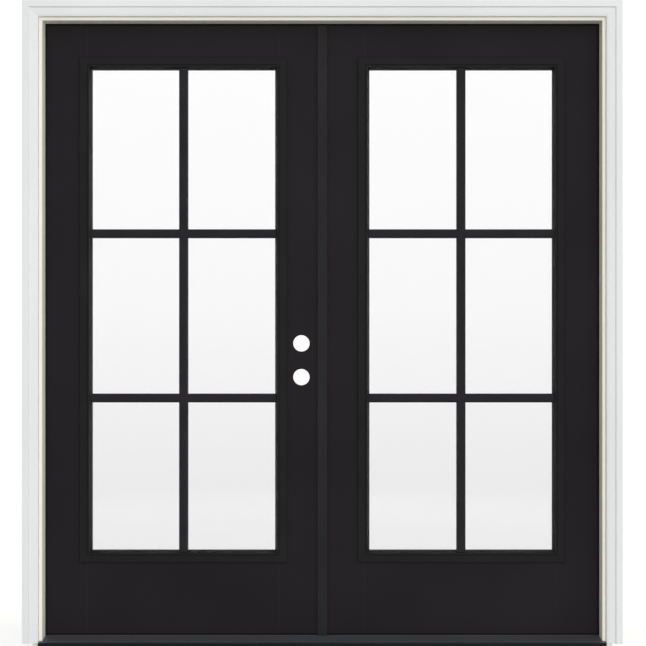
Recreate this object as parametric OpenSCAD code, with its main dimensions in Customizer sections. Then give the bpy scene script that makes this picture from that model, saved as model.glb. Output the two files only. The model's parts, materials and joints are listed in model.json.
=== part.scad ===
// Inswing double front door in its frame: two glazed composite leaves, an astragal
// with flush bolts, rabbeted jambs, brickmould, sill and weatherstrip.
// X runs across the opening, Y from the outside (negative) to the inside, Z up.
// The origin is on the underside of the sill, midway between the jambs and midway
// through their depth. The left leaf is the active one, the right leaf the passive one.

/* [Leaf] */
// Width of one leaf
slab_w = 908; // [840:1:1000]
// Height of one leaf
slab_h = 2006.6; // [1950:0.1:2150]
// Thickness of one leaf
slab_t = 44.45; // [42:0.05:52]
// Thickness of the moulded skins
skin_t = 2; // [1:0.1:3]
// Width of the stiles
stile_w = 30; // [26:1:32]
// Height of the top rail
top_rail_h = 45; // [30:1:70]
// Height of the bottom rail
bottom_rail_h = 60; // [40:1:120]

/* [Lite] */
// From the lock edge of the leaf to the glass in sight
lite_lock = 146.3; // [140:0.1:170]
// From the hinge edge of the leaf to the glass in sight
lite_hinge = 160.2; // [140:0.1:190]
// From the foot of the leaf to the glass in sight
lite_foot = 271.4; // [230:0.1:300]
// From the head of the leaf to the glass in sight
lite_head = 157.2; // [130:0.1:200]
// Face width of the lite frame
lite_face = 38; // [34:0.5:44]
// Lap of the lite frame on the skin around its cut-out
lite_lap = 14; // [12:0.5:15]
// Height of the lite frame above the skin
lite_proud = 8; // [5:0.5:12]
// Run of the bevel from the sight edge to the flat of the lite frame
lite_bevel = 7; // [4:0.5:10]
// Thickness of the sight edge on the glass
lite_edge = 4.5; // [3:0.5:7]
// Round on the outer edge of the lite frame
lite_round = 2; // [1:0.5:3]
// From the sight edge to the quirk that parts the bead from the flat
quirk_in = 13; // [11:0.5:14]
// Width of the quirk
quirk_w = 3; // [2:0.5:4]
// Depth of the quirk
quirk_d = 1.6; // [1:0.1:2.5]
// Thickness of each pane
pane_t = 3.2; // [3:0.1:5]
// Space between the panes
pane_space = 15.6; // [10:0.1:18]
// Glass hidden behind the lite frame on each side
glass_bite = 15; // [13:0.5:17]
// Width of the spacer's section
spacer_w = 8; // [5:0.5:9]
// Spacer set back from the edge of the glass
spacer_inset = 4; // [2:0.5:5]
// Width of a glazing bar
bar_w = 28; // [20:0.5:36]
// Height of a glazing bar above the glass
bar_h = 12; // [8:0.5:14]
// Bevel on each side of a glazing bar
bar_bevel = 4; // [2:0.5:8]
// Height of the lower cross bar as a share of the glass in sight
lower_bar_share = 0.3167; // [0.25:0.0001:0.4]
// Height of the upper cross bar as a share of the glass in sight
upper_bar_share = 0.6587; // [0.55:0.0001:0.75]

/* [Lock bores] */
// From the lock edge to the centre of the lock bores
backset = 60.3; // [60:0.1:70]
// Radius of the lock bores
bore_r = 27; // [25:0.5:28]
// Height of the upper bore above the foot of the leaf
upper_bore_up = 950.7; // [900:0.1:1000]
// Distance between the two lock bores
bore_spacing = 110.8; // [100:0.1:160]
// Radius of the latch bores in the lock edge
latch_r = 12.7; // [10:0.1:13]
// Height of the latch face plate mortise
face_plate_h = 57.2; // [50:0.1:70]
// Width of the latch face plate mortise
face_plate_w = 25.4; // [25:0.1:30]
// Depth of the latch face plate mortise
face_plate_t = 3; // [2:0.1:4]
// From the lock block to the cut-out of the lite
block_clear = 12; // [6:0.5:20]
// Lock block above and below the bores' centres
block_over = 125; // [90:1:150]

/* [Frame] */
// Gap between a leaf and its hinge jamb
hinge_gap = 3; // [2:0.1:4]
// Gap between the leaves at the meeting edges
meeting_gap = 16.6; // [14:0.1:22]
// Gap above the leaves
head_gap = 3; // [2:0.1:5]
// Gap between the foot of the leaves and the threshold
foot_gap = 4; // [3:0.1:8]
// Depth of the jambs from outside to inside
jamb_d = 116; // [110:0.5:170]
// Thickness of the jambs in the rabbet
jamb_t = 19.05; // [18:0.05:30]
// Projection of the stop beyond the rabbet
stop_proj = 12.7; // [10:0.1:16]
// Gap between the stop and the closed leaf
seal_gap = 6; // [4:0.1:9]
// Depth of the housing of the head in the jambs
dado = 6.35; // [4:0.05:10]
// Round on the outer corner of the stop
stop_round = 2; // [1:0.5:4]

/* [Brickmould] */
// Width of the brickmould
brick_w = 50.8; // [46:0.1:64]
// Thickness of the brickmould
brick_t = 31.75; // [28:0.05:40]
// Jamb edge left in sight beside the brickmould
brick_reveal = 10; // [5:0.5:12]
// Width of the raised outer band
band_w = 20; // [14:0.5:24]
// Drop from the outer band to the face
band_drop = 7; // [4:0.5:9]
// Run of the slope from the outer band to the face
band_slope = 3; // [2:0.5:5]
// Radius of the crowned face
crown_r = 75; // [60:1:120]
// Round of the inner nose
nose_r = 5; // [3:0.5:6]
// Width of each land beside the relief in the back
relief_land = 9; // [6:0.5:14]
// Depth of the relief in the back
relief_d = 2.5; // [1.5:0.5:4]
// Height of the brickmould feet above the underside of the sill
brick_foot = 26; // [0:0.5:30]

/* [Weatherstrip] */
// Strip in sight beyond the stop
seal_show = 5; // [3:0.5:7]
// Clearance between the strip and the closed leaf
seal_clear = 0.3; // [0.2:0.1:0.6]
// Width of the kerf in the stop
kerf_w = 3; // [2.4:0.1:4]
// Depth of the kerf in the stop
kerf_d = 10; // [8:0.5:12]
// From the rabbet to the kerf
kerf_in = 4; // [3:0.1:5]
// Clearance of the strip's stem in the kerf
kerf_clear = 0.3; // [0.1:0.1:0.5]

/* [Sill] */
// Height of the threshold
sill_h = 38; // [34:0.5:45]
// Seat of the threshold cap above the underside
cap_seat = 20; // [16:0.5:24]
// Round on the top edges of the threshold cap
cap_round = 3; // [1:0.5:5]
// Cap in front of the closed leaf
cap_lip = 3; // [1:0.5:5]
// Step from the threshold cap down to the deck
cap_step = 2; // [1:0.5:4]
// Thickness of the aluminium deck
deck_t = 1.8; // [1.2:0.1:3]
// Nose of the deck in front of the brickmould
nose_out = 6; // [0:0.5:12]
// Depth of the bevelled nose
nose_d = 14; // [8:0.5:20]
// Height of the top of the nose
nose_top = 28.5; // [24:0.5:30]
// Height of the foot of the nose bevel
nose_low = 12; // [8:0.5:16]
// Deck's front edge above the underside
deck_foot = 2; // [0.5:0.5:4]
// Number of threshold screws
cap_screws = 6; // [4:2:10]
// From the jamb to the first threshold screw
cap_screw_end = 90; // [60:1:140]

/* [Hinges] */
// Height of a hinge
hinge_h = 101.6; // [90:0.1:114]
// Thickness of a hinge leaf
plate_t = 2.5; // [2:0.1:3]
// Width of a hinge leaf in its mortise
plate_w = 32; // [28:0.5:36]
// Corner radius of a hinge leaf
plate_r = 6.35; // [4:0.05:9]
// Radius of the knuckles
knuckle_r = 6; // [5:0.1:6.3]
// From the inside face of the leaf to the pin's axis
pin_out = 6.8; // [6.6:0.1:8]
// Radius of the hinge pin
pin_r = 3; // [2.5:0.05:3.5]
// Radial clearance of the pin in the knuckles
pin_clear = 0.05; // [0.03:0.01:0.08]
// Gap between knuckles
knuckle_gap = 0.4; // [0.3:0.1:0.8]
// From the top of the leaf to the top hinge
hinge_down = 178; // [150:1:220]
// From the foot of the leaf to the bottom hinge
hinge_up = 254; // [200:1:300]
// Radius of a hinge screw's head
screw_head_r = 4.2; // [3.5:0.1:5]
// Radius of a hinge screw's shank
screw_r = 2.1; // [1.8:0.1:2.4]
// Length of the hinge screws in the jambs
jamb_screw_l = 16; // [12:0.5:18]
// Length of the hinge screws in the leaves
leaf_screw_l = 25; // [20:0.5:28]

/* [Astragal] */
// Width of the cover strip
cover_w = 32; // [26:0.5:40]
// Thickness of the cover strip
cover_t = 2.6; // [2:0.1:4]
// Gap between the astragal and the active leaf
astragal_gap = 3; // [2.5:0.1:4]
// Wall thickness of the astragal
wall_t = 1.6; // [1.2:0.1:2]
// Short of the inside face of the leaves
astragal_back = 2; // [0:0.5:5]
// Radius of the flush bolts' rods
bolt_r = 4; // [3:0.1:4.4]
// Clearance of the flush bolts' slides in their channel
bolt_clear = 0.2; // [0.15:0.05:0.3]
// Length of the flush bolts
bolt_l = 220; // [160:1:300]
// Length of the rod before the slide of a flush bolt
rod_l = 45; // [35:1:60]
// From the end of the leaf to the tip of a drawn flush bolt
bolt_back = 6; // [4:0.5:8]
// Travel of the flush bolts
bolt_travel = 21; // [18:0.5:22]
// Height of the thumb slide of a flush bolt
thumb_h = 14; // [10:0.5:20]
// Width of the thumb slide of a flush bolt
thumb_w = 5.4; // [4:0.1:6]
// Thickness of the bolt strikes
strike_t = 2; // [1.5:0.1:3]
// Clearance around a thrown bolt in its strike
strike_clear = 3; // [2:0.1:4]

/* [Hidden] */
$fn = 48;

// Colours as seen
leaf_black = "#262425";
frame_black = "#242424";
bar_black = "#2a282b";
astragal_black = "#2a2a2a";
brick_white = "#e5e7e6";
jamb_cream = "#eae7dc";
seal_black = "#1d1b1a";
sill_bronze = "#373a3f";
cap_brown = "#4a4642";
wood_tan = "#c8a878";
foam_cream = "#e6dcae";
glass_clear = "#dfe8e8";
steel_grey = "#8d8f92";
spacer_grey = "#a9abad";

// Overshoot of a cut past the face that it opens
over = 1;
// Clearance around screws in their holes
screw_clear = 0.1;

// Planes of the frame: the left leaf's values are negative across X
rabbet_half = slab_w + hinge_gap + meeting_gap / 2;
stop_half = rabbet_half - stop_proj;
jamb_y0 = -jamb_d / 2;
jamb_y1 = jamb_d / 2;
slab_y1 = jamb_y1;
slab_y0 = slab_y1 - slab_t;
slab_ym = (slab_y0 + slab_y1) / 2;
stop_y = slab_y0 - seal_gap;
stop_d = stop_y - jamb_y0;
slab_z0 = sill_h + foot_gap;
slab_z1 = slab_z0 + slab_h;
rabbet_z = slab_z1 + head_gap;
stop_z = rabbet_z - stop_proj;
jamb_z = rabbet_z + jamb_t;
brick_in = stop_half + brick_reveal;
brick_out = brick_in + brick_w;
brick_in_z = stop_z + brick_reveal;
brick_out_z = brick_in_z + brick_w;

// Left leaf: hinge edge, lock edge and the layers between the skins
hinge_x = -(rabbet_half - hinge_gap);
lock_x = -meeting_gap / 2;
core_y0 = slab_y0 + skin_t;
core_y1 = slab_y1 - skin_t;

// Lite: the glass in sight and its centre, the cut-out and the glass
sight_w = slab_w - lite_lock - lite_hinge;
sight_h = slab_h - lite_foot - lite_head;
lite_x = lock_x - lite_lock - sight_w / 2;
lite_z = slab_z0 + lite_foot + sight_h / 2;
lower_bar_z = lite_z + (lower_bar_share - 0.5) * sight_h;
upper_bar_z = lite_z + (upper_bar_share - 0.5) * sight_h;
cutout_grow = lite_face - lite_lap;
glass_t = 2 * pane_t + pane_space;
glass_drop = (slab_t - glass_t) / 2;
glass_edge_gap = 1.5;
cutout_gap = 2;
leg_in = glass_bite + glass_edge_gap;
leg_out = cutout_grow - cutout_gap;
leg_gap = 0.25;
lite_screw_a = (leg_in + leg_out) / 2;
lite_screw_r = 1.5;
lite_screw_head_r = 3.2;
lite_screw_head_h = 1.8;
lite_screw_hold = 14;
lite_screw_l = lite_proud + slab_t / 2 + lite_screw_hold;
lite_screw_end = 120;
lite_screws_side = 5;
lite_screws_end = 2;

// Lock
bore_x = lock_x - backset;
upper_bore_z = slab_z0 + upper_bore_up;
lower_bore_z = upper_bore_z - bore_spacing;
bore_zs = [upper_bore_z, lower_bore_z];
lock_block_w = lite_lock - cutout_grow - stile_w - block_clear;

// Weatherstrip
seal_t = seal_gap - seal_clear;
seal_back = 1.5;
seal_end = stop_proj + seal_show;
seal_root = 1;
head_seal_z = rabbet_z - seal_end;

// Sill
cap_y0 = slab_y0 - cap_lip;
deck_rear_z = sill_h - cap_step;
nose_y = jamb_y0 - brick_t - nose_out;
nose_break_y = nose_y + nose_d;
deck_fold = deck_t / 3;
horn_gap = 0.3;
horn_half = brick_in - horn_gap;
cap_screw_head_r = 5;
cap_screw_head_h = 3;
cap_screw_r = 3;
cap_screw_l = 28;
cap_screw_pitch = (2 * rabbet_half - 2 * cap_screw_end) / (cap_screws - 1);
cap_screw_x0 = cap_screw_end - rabbet_half;
cap_screw_xs = [for (i = [0:cap_screws - 1]) cap_screw_x0 + i * cap_screw_pitch];
cap_screw_y = (cap_y0 + jamb_y1) / 2;

// Hinges on the left side
pin_x = hinge_x - hinge_gap / 2;
pin_y = slab_y1 + pin_out;
knuckles = 5;
knuckle_pitch = hinge_h / knuckles;
ear_land = 1;
ear_y = pin_y - pin_r - pin_clear - ear_land;
plate_clear = 0.1;
hinge_low_z = slab_z0 + hinge_up + hinge_h / 2;
hinge_top_z = slab_z1 - hinge_down - hinge_h / 2;
hinge_zs = [hinge_low_z, (hinge_low_z + hinge_top_z) / 2, hinge_top_z];
pin_head_r = 5;
pin_head_h = 3.5;
screw_head_h = 2.2;
hinge_screws = 4;
hinge_screw_end = 13;
hinge_screw_pitch = (hinge_h - 2 * hinge_screw_end) / (hinge_screws - 1);
hinge_screw_near = 10;
hinge_screw_stagger = 11;

// Astragal on the passive leaf's lock edge
astragal_x0 = lock_x + astragal_gap;
astragal_x1 = -lock_x;
astragal_y1 = slab_y1 - astragal_back;
cover_foot = 1.2;
cover_head = 0.6;
cover_y0 = stop_y - cover_t;
cover_z0 = sill_h + cover_foot;
cover_z1 = head_seal_z - cover_head;
cover_round = 1.2;
snap_w = 2.4;
snap_d = 4;
snap_clear = 0.1;
bolt_x = (astragal_x0 + astragal_x1) / 2;
bolt_cell = (astragal_x1 - astragal_x0) / 2 - wall_t;
bolt_in = 17.2;
bolt_y = slab_y0 + bolt_in;
bolt_tip = 1.5;
slide_half = bolt_cell - bolt_clear;
top_bolt_z = slab_z1 - bolt_back;
bottom_bolt_z = slab_z0 + bolt_back;
thumb_in = 75;
thumb_sink = 0.2;
thumb_clear = 0.3;
strike_w = 24;
strike_l = 60;
socket_w = 2 * (bolt_r + strike_clear);
socket_end = 3;
socket_depth = bolt_travel - bolt_back - head_gap + socket_end;
astragal_screws_n = 6;
astragal_screw_end = 300;
astragal_screw_pitch = (slab_h - 2 * astragal_screw_end) / (astragal_screws_n - 1);
astragal_screw_z0 = slab_z0 + astragal_screw_end;
astragal_screw_zs = [for (i = [0:astragal_screws_n - 1]) astragal_screw_z0 + i * astragal_screw_pitch];
astragal_screw_land = 0.3;
astragal_screw_head_h = wall_t - astragal_screw_land;
astragal_screw_l = 24;
access_clear = 1;
access_r = screw_head_r + access_clear;
access_land = 0.6;
astragal_screw_y = astragal_y1 - wall_t - access_land - access_r;
groove_y = stop_y + seal_t / 2;
groove_t = 2.4;
groove_d = 3;
groove_clear = 0.1;
latch_pocket_y = 14;
latch_pocket_z = 28;

// Shared shapes

// A section drawn in Y and Z, run along X
module along_x(x0, x1) {
    translate([x0, 0, 0]) rotate([90, 0, 90]) linear_extrude(x1 - x0) children();
}

// A section drawn in X and Y, run up Z
module along_z(z0, z1) {
    translate([0, 0, z0]) linear_extrude(z1 - z0) children();
}

// A box between two corners
module block(low, high) {
    translate(low) cube(high - low);
}

// The same piece on the right-hand side
module right_side() {
    mirror([1, 0, 0]) children();
}

// A countersunk screw pointing up Z from the top of its head
module screw(head_r, head_h, shank_r, length, grow = 0) {
    lift = grow > 0 ? over : 0;
    rotate_extrude() polygon([
        [0, -lift], [head_r + grow, -lift], [head_r + grow, 0],
        [shank_r + grow, head_h], [shank_r + grow, length + grow], [0, length + grow]]);
}

// Four mitred runs of a section around an opening in the XZ plane.
// The section's x runs outward from the opening's edge and its y towards the outside.
module mitred_ring(w, h, reach) {
    for (side = [0:3]) {
        upright = side % 2 == 0;
        near = (upright ? w : h) / 2;
        half = (upright ? h : w) / 2;
        rotate([0, side * 90, 0]) intersection() {
            translate([near, 0, 0])
                linear_extrude(2 * (half + reach), center = true) mirror([0, 1]) children();
            rotate([90, 0, 0]) linear_extrude(4 * slab_t, center = true) polygon([
                [near, -half], [near + reach, -half - reach],
                [near + reach, half + reach], [near, half]]);
        }
    }
}

// Frame: jambs

// Kerf in the stop, from the rabbet's corner: x into the opening, y towards the leaf
module kerf_section() {
    translate([kerf_in, -kerf_d]) square([kerf_w, kerf_d + over]);
}

// Weatherstrip from the rabbet's corner: stem in the kerf and a bulb over the stop
module seal_section() {
    translate([kerf_in + kerf_clear, seal_root - kerf_d]) square([kerf_w - 2 * kerf_clear, kerf_d]);
    translate([seal_back, 0]) square([seal_end - seal_back - seal_t / 2, seal_t]);
    translate([seal_end - seal_t / 2, seal_t / 2]) circle(d = seal_t);
}

// Rabbeted jamb from the rabbet's corner: x into the opening, y towards the inside
module jamb_section() {
    difference() {
        union() {
            translate([-jamb_t, -stop_d]) square([jamb_t, jamb_d]);
            translate([-over, -stop_d]) square([stop_proj + over - stop_round, stop_d]);
            translate([0, stop_round - stop_d]) square([stop_proj, stop_d - stop_round]);
            translate([stop_proj - stop_round, stop_round - stop_d]) circle(stop_round);
        }
        kerf_section();
    }
}

// Housing for the head's end at the top of the left jamb, board and stop
module head_housing() {
    x0 = -rabbet_half - dado;
    block([x0, jamb_y0 - over, rabbet_z], [0, jamb_y1 + over, jamb_z + over]);
    block([x0, jamb_y0 - over, stop_z], [0, stop_y, rabbet_z + over]);
}

module jamb_leg() {
    color(jamb_cream) difference() {
        along_z(0, jamb_z) translate([-rabbet_half, stop_y]) jamb_section();
        head_housing();
        hinge_mortises();
        jamb_screw_set(screw_clear);
    }
}

module jamb_left() {
    jamb_leg();
}

module jamb_right() {
    right_side() jamb_leg();
}

module jamb_head() {
    color(jamb_cream) difference() {
        along_x(-rabbet_half - dado, rabbet_half + dado)
            translate([stop_y, rabbet_z]) rotate(-90) jamb_section();
        head_strike_plate();
        bolt_socket(rabbet_z - over, rabbet_z + socket_depth);
    }
}

// Frame: brickmould

// The relief: a shallow hollow with sloping sides, so that the lands bed on jamb and wall
module brick_relief() {
    polygon([
        [relief_land, 0], [relief_land + relief_d, relief_d],
        [brick_w - relief_land - relief_d, relief_d], [brick_w - relief_land, 0],
        [brick_w - relief_land, -over], [relief_land, -over]]);
}

// From the inner edge outward in x, from the jamb's edge forward in y
module brick_section() {
    difference() {
        brick_outline();
        brick_relief();
    }
}

module brick_outline() {
    face_t = brick_t - band_drop;
    slope_x = brick_w - band_w - band_slope;
    intersection() {
        union() {
            polygon([
                [0, 0], [brick_w, 0], [brick_w, brick_t], [slope_x + band_slope, brick_t],
                [slope_x, face_t], [slope_x, face_t / 2], [0, face_t / 2]]);
            intersection() {
                square([slope_x + band_slope / 2, face_t]);
                translate([slope_x, face_t - crown_r]) circle(crown_r, $fn = 128);
            }
        }
        union() {
            translate([nose_r, 0]) square([brick_w, brick_t]);
            square([nose_r, face_t - 2 * nose_r]);
            translate([nose_r, face_t - 2 * nose_r]) circle(nose_r);
        }
    }
}

// A corner block that keeps one side of the mitre at the left top corner
module mitre_side(upright) {
    corner = brick_w * 2;
    across = 2 * brick_out;
    leg_side = [[corner, 0], [0, 0], [-corner, corner], [-corner, -brick_out_z], [corner, -brick_out_z]];
    head_side = [[0, 0], [-corner, corner], [across, corner], [across, 0]];
    translate([-brick_in, 0, brick_in_z]) rotate([90, 0, 0])
        linear_extrude(4 * brick_t + jamb_d, center = true) polygon(upright ? leg_side : head_side);
}

module brick_leg() {
    color(brick_white) intersection() {
        along_z(brick_foot, brick_out_z)
            translate([-brick_in, jamb_y0]) rotate(180) brick_section();
        mitre_side(true);
    }
}

module brickmould_left() {
    brick_leg();
}

module brickmould_right() {
    right_side() brick_leg();
}

module brickmould_head() {
    color(brick_white) intersection() {
        along_x(-brick_out, brick_out)
            translate([jamb_y0, brick_in_z]) rotate(90) brick_section();
        mitre_side(false);
        right_side() mitre_side(false);
    }
}

// Frame: sill

// Plan of the sill between the jambs, with horns in front of them
module sill_plan() {
    half = [[horn_half, nose_y - over], [horn_half, jamb_y0], [stop_half, jamb_y0],
        [stop_half, stop_y], [rabbet_half, stop_y], [rabbet_half, jamb_y1]];
    other = [for (i = [len(half) - 1:-1:0]) [-half[i][0], half[i][1]]];
    linear_extrude(2 * sill_h, center = true) polygon(concat(half, other));
}

module sill_base_section() {
    polygon([
        [cap_y0, deck_rear_z - deck_t], [nose_break_y + deck_fold, nose_top - deck_t],
        [nose_y + deck_t, nose_low - deck_fold], [nose_y + deck_t, 0],
        [jamb_y1, 0], [jamb_y1, cap_seat], [cap_y0, cap_seat]]);
}

module sill_base() {
    color(wood_tan) difference() {
        intersection() {
            along_x(-rabbet_half, rabbet_half) sill_base_section();
            sill_plan();
        }
        cap_screw_set(screw_clear);
    }
}

module sill_deck() {
    color(sill_bronze) intersection() {
        along_x(-rabbet_half, rabbet_half) difference() {
            polygon([
                [cap_y0, deck_rear_z], [nose_break_y, nose_top], [nose_y, nose_low],
                [nose_y, deck_foot], [cap_y0, deck_foot]]);
            sill_base_section();
        }
        sill_plan();
    }
}

module threshold_cap() {
    top = sill_h - cap_seat;
    depth = jamb_y1 - cap_y0;
    color(cap_brown) difference() {
        along_x(-rabbet_half, rabbet_half) translate([cap_y0, cap_seat]) {
            square([depth, top - cap_round]);
            translate([cap_round, 0]) square([depth - 2 * cap_round, top]);
            translate([cap_round, top - cap_round]) circle(cap_round);
            translate([depth - cap_round, top - cap_round]) circle(cap_round);
        }
        cap_screw_set(screw_clear);
        sill_strike_plate();
        bolt_socket(cap_seat - over, sill_h + over);
    }
}

// Threshold screws pointing down from the top of the cap
module cap_screw_set(grow = 0) {
    for (x = cap_screw_xs)
        translate([x, cap_screw_y, sill_h]) rotate([180, 0, 0])
            screw(cap_screw_head_r, cap_screw_head_h, cap_screw_r, cap_screw_l, grow);
}

module threshold_screws() {
    color(steel_grey) cap_screw_set();
}

// Frame: weatherstrip and strikes

module seal_leg() {
    color(seal_black) along_z(sill_h, head_seal_z)
        translate([-rabbet_half, stop_y]) seal_section();
}

module weatherstrip_left() {
    seal_leg();
}

module weatherstrip_right() {
    right_side() seal_leg();
}

module weatherstrip_head() {
    color(seal_black) along_x(-rabbet_half, rabbet_half)
        translate([stop_y, rabbet_z]) rotate(-90) seal_section();
}

// Square socket that takes a thrown bolt
module bolt_socket(z0, z1) {
    half = socket_w / 2;
    block([bolt_x - half, bolt_y - half, z0], [bolt_x + half, bolt_y + half, z1]);
}

module strike_plate() {
    translate([bolt_x - strike_l / 2, bolt_y - strike_w / 2, 0]) cube([strike_l, strike_w, strike_t]);
}

module head_strike_plate() {
    translate([0, 0, rabbet_z]) strike_plate();
}

module sill_strike_plate() {
    translate([0, 0, sill_h - strike_t]) strike_plate();
}

module bolt_strikes() {
    color(steel_grey) difference() {
        union() {
            head_strike_plate();
            sill_strike_plate();
        }
        bolt_socket(0, jamb_z);
    }
}

// Hinges

// Outline of a hinge leaf in Y and Z, open towards the pin
module plate_outline(grow = 0) {
    r = plate_r;
    h = hinge_h + 2 * grow;
    w = plate_w + grow;
    translate([slab_y1 - w, -h / 2]) {
        translate([r, 0]) square([w - r, h]);
        translate([0, r]) square([w, h - 2 * r]);
        translate([r, r]) circle(r);
        translate([r, h - r]) circle(r);
    }
}

// Mortises of one side, cut into the jamb and the leaf's hinge edge together
module hinge_mortises() {
    for (z = hinge_zs) translate([0, 0, z])
        along_x(-rabbet_half - plate_t, hinge_x + plate_t) {
            plate_outline(plate_clear);
            translate([slab_y1 - over, -hinge_h / 2 - plate_clear])
                square([2 * over, hinge_h + 2 * plate_clear]);
        }
}

// One knuckle of a hinge with its ear on the plate from x0 to x1
module knuckle(i, x0, x1) {
    z0 = -hinge_h / 2 + i * knuckle_pitch + knuckle_gap / 2;
    z1 = z0 + knuckle_pitch - knuckle_gap;
    translate([pin_x, pin_y, z0]) cylinder(r = knuckle_r, h = z1 - z0);
    block([x0, slab_y1 - over, z0], [x1, ear_y, z1]);
}

module pin_hole() {
    translate([pin_x, pin_y, -hinge_h]) cylinder(r = pin_r + pin_clear, h = 2 * hinge_h);
}

// One hinge leaf with the knuckles in the list
module hinge_leaf(x0, x1, knuckle_list) {
    difference() {
        union() {
            along_x(x0, x1) plate_outline();
            for (i = knuckle_list) knuckle(i, x0, x1);
        }
        pin_hole();
    }
}

// Places of the screws in one hinge, as [Y, Z from the hinge's middle]
hinge_screw_spots = [for (i = [0:hinge_screws - 1]) [
    slab_y1 - plate_w + hinge_screw_near + (i % 2) * hinge_screw_stagger,
    -hinge_h / 2 + hinge_screw_end + i * hinge_screw_pitch]];

module jamb_screw_set(grow = 0) {
    for (z = hinge_zs, spot = hinge_screw_spots)
        translate([-rabbet_half, spot[0], z + spot[1]]) rotate([0, -90, 0])
            screw(screw_head_r, screw_head_h, screw_r, jamb_screw_l, grow);
}

module leaf_screw_set(grow = 0) {
    for (z = hinge_zs, spot = hinge_screw_spots)
        translate([hinge_x, spot[0], z + spot[1]]) rotate([0, 90, 0])
            screw(screw_head_r, screw_head_h, screw_r, leaf_screw_l, grow);
}

module jamb_leaf_set() {
    difference() {
        for (z = hinge_zs) translate([0, 0, z])
            hinge_leaf(-rabbet_half - plate_t, -rabbet_half, [0, 2, 4]);
        jamb_screw_set(screw_clear);
    }
}

module leaf_leaf_set() {
    difference() {
        for (z = hinge_zs) translate([0, 0, z])
            hinge_leaf(hinge_x, hinge_x + plate_t, [1, 3]);
        leaf_screw_set(screw_clear);
    }
}

module pin_set() {
    for (z = hinge_zs) translate([pin_x, pin_y, z]) {
        translate([0, 0, -hinge_h / 2]) cylinder(r = pin_r, h = hinge_h);
        translate([0, 0, hinge_h / 2]) cylinder(r = pin_head_r, h = pin_head_h);
    }
}

module jamb_hinge_leaves() {
    color(steel_grey) {
        jamb_leaf_set();
        right_side() jamb_leaf_set();
    }
}

module hinge_pins() {
    color(steel_grey) {
        pin_set();
        right_side() pin_set();
    }
}

module jamb_hinge_screws() {
    color(steel_grey) {
        jamb_screw_set();
        right_side() jamb_screw_set();
    }
}

// Leaf: the left leaf's pieces; the right leaf is their mirror image

module lite_cutout() {
    w = sight_w + 2 * cutout_grow;
    h = sight_h + 2 * cutout_grow;
    translate([lite_x - w / 2, slab_y0 - over, lite_z - h / 2]) cube([w, slab_t + 2 * over, h]);
}

module lock_bores() {
    for (z = bore_zs)
        translate([bore_x, slab_y0 - over, z]) rotate([-90, 0, 0])
            cylinder(r = bore_r, h = slab_t + 2 * over);
}

// Latch bores from the lock edge to the lock bores, with the face plate mortises
module latch_bores() {
    for (z = bore_zs) {
        translate([bore_x, slab_ym, z]) rotate([0, 90, 0]) cylinder(r = latch_r, h = backset + over);
        block([lock_x - face_plate_t, slab_ym - face_plate_w / 2, z - face_plate_h / 2],
            [lock_x + over, slab_ym + face_plate_w / 2, z + face_plate_h / 2]);
    }
}

module skin(y0, bored) {
    color(leaf_black) difference() {
        block([hinge_x, y0, slab_z0], [lock_x, y0 + skin_t, slab_z1]);
        lite_cutout();
        hinge_mortises();
        if (bored) lock_bores();
    }
}

module hinge_stile() {
    color(leaf_black) difference() {
        block([hinge_x, core_y0, slab_z0], [hinge_x + stile_w, core_y1, slab_z1]);
        hinge_mortises();
        leaf_screw_set(screw_clear);
    }
}

module lock_stile(bored) {
    color(leaf_black) difference() {
        block([lock_x - stile_w, core_y0, slab_z0], [lock_x, core_y1, slab_z1]);
        if (bored) latch_bores();
        else right_side() astragal_screw_set(screw_clear);
    }
}

module lock_block_body() {
    block([lock_x - stile_w - lock_block_w, core_y0, lower_bore_z - block_over],
        [lock_x - stile_w, core_y1, upper_bore_z + block_over]);
}

module lock_block() {
    color(wood_tan) difference() {
        lock_block_body();
        lock_bores();
        latch_bores();
    }
}

// A rail between the stiles
module rail(z0, z1) {
    block([hinge_x + stile_w, core_y0, z0], [lock_x - stile_w, core_y1, z1]);
}

module top_rail() {
    color(leaf_black) rail(slab_z1 - top_rail_h, slab_z1);
}

module bottom_rail() {
    color(leaf_black) difference() {
        rail(slab_z0, slab_z0 + bottom_rail_h);
        sweep_barbs(barb_clear);
    }
}

module foam_core(bored) {
    color(foam_cream) difference() {
        rail(slab_z0 + bottom_rail_h, slab_z1 - top_rail_h);
        lite_cutout();
        if (bored) lock_block_body();
    }
}

// Sweep under the leaf: a base, fins towards the threshold and barbs in the rail
sweep_t = 1.2;
sweep_gap = 0.5;
sweep_inset = 1.5;
fin_t = 2;
fins = 4;
barb_t = 2;
barb_h = 8;
barb_clear = 0.2;
sweep_depth = slab_t - 2 * sweep_inset;
fin_pitch = (sweep_depth - fin_t) / (fins - 1);

module sweep_barbs(grow = 0) {
    for (i = [1, fins - 2])
        translate([0, slab_y0 + sweep_inset + i * fin_pitch, slab_z0])
            block([hinge_x + stile_w, -grow, -over], [lock_x - stile_w, barb_t + grow, barb_h + grow]);
}

module door_bottom() {
    color(seal_black) {
        block([hinge_x + sweep_inset, slab_y0 + sweep_inset, slab_z0 - sweep_t],
            [lock_x - sweep_inset, slab_y1 - sweep_inset, slab_z0]);
        for (i = [0:fins - 1])
            translate([0, slab_y0 + sweep_inset + i * fin_pitch, sill_h])
                block([hinge_x + sweep_inset, 0, sweep_gap], [lock_x - sweep_inset, fin_t, foot_gap]);
        sweep_barbs();
    }
}

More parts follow.
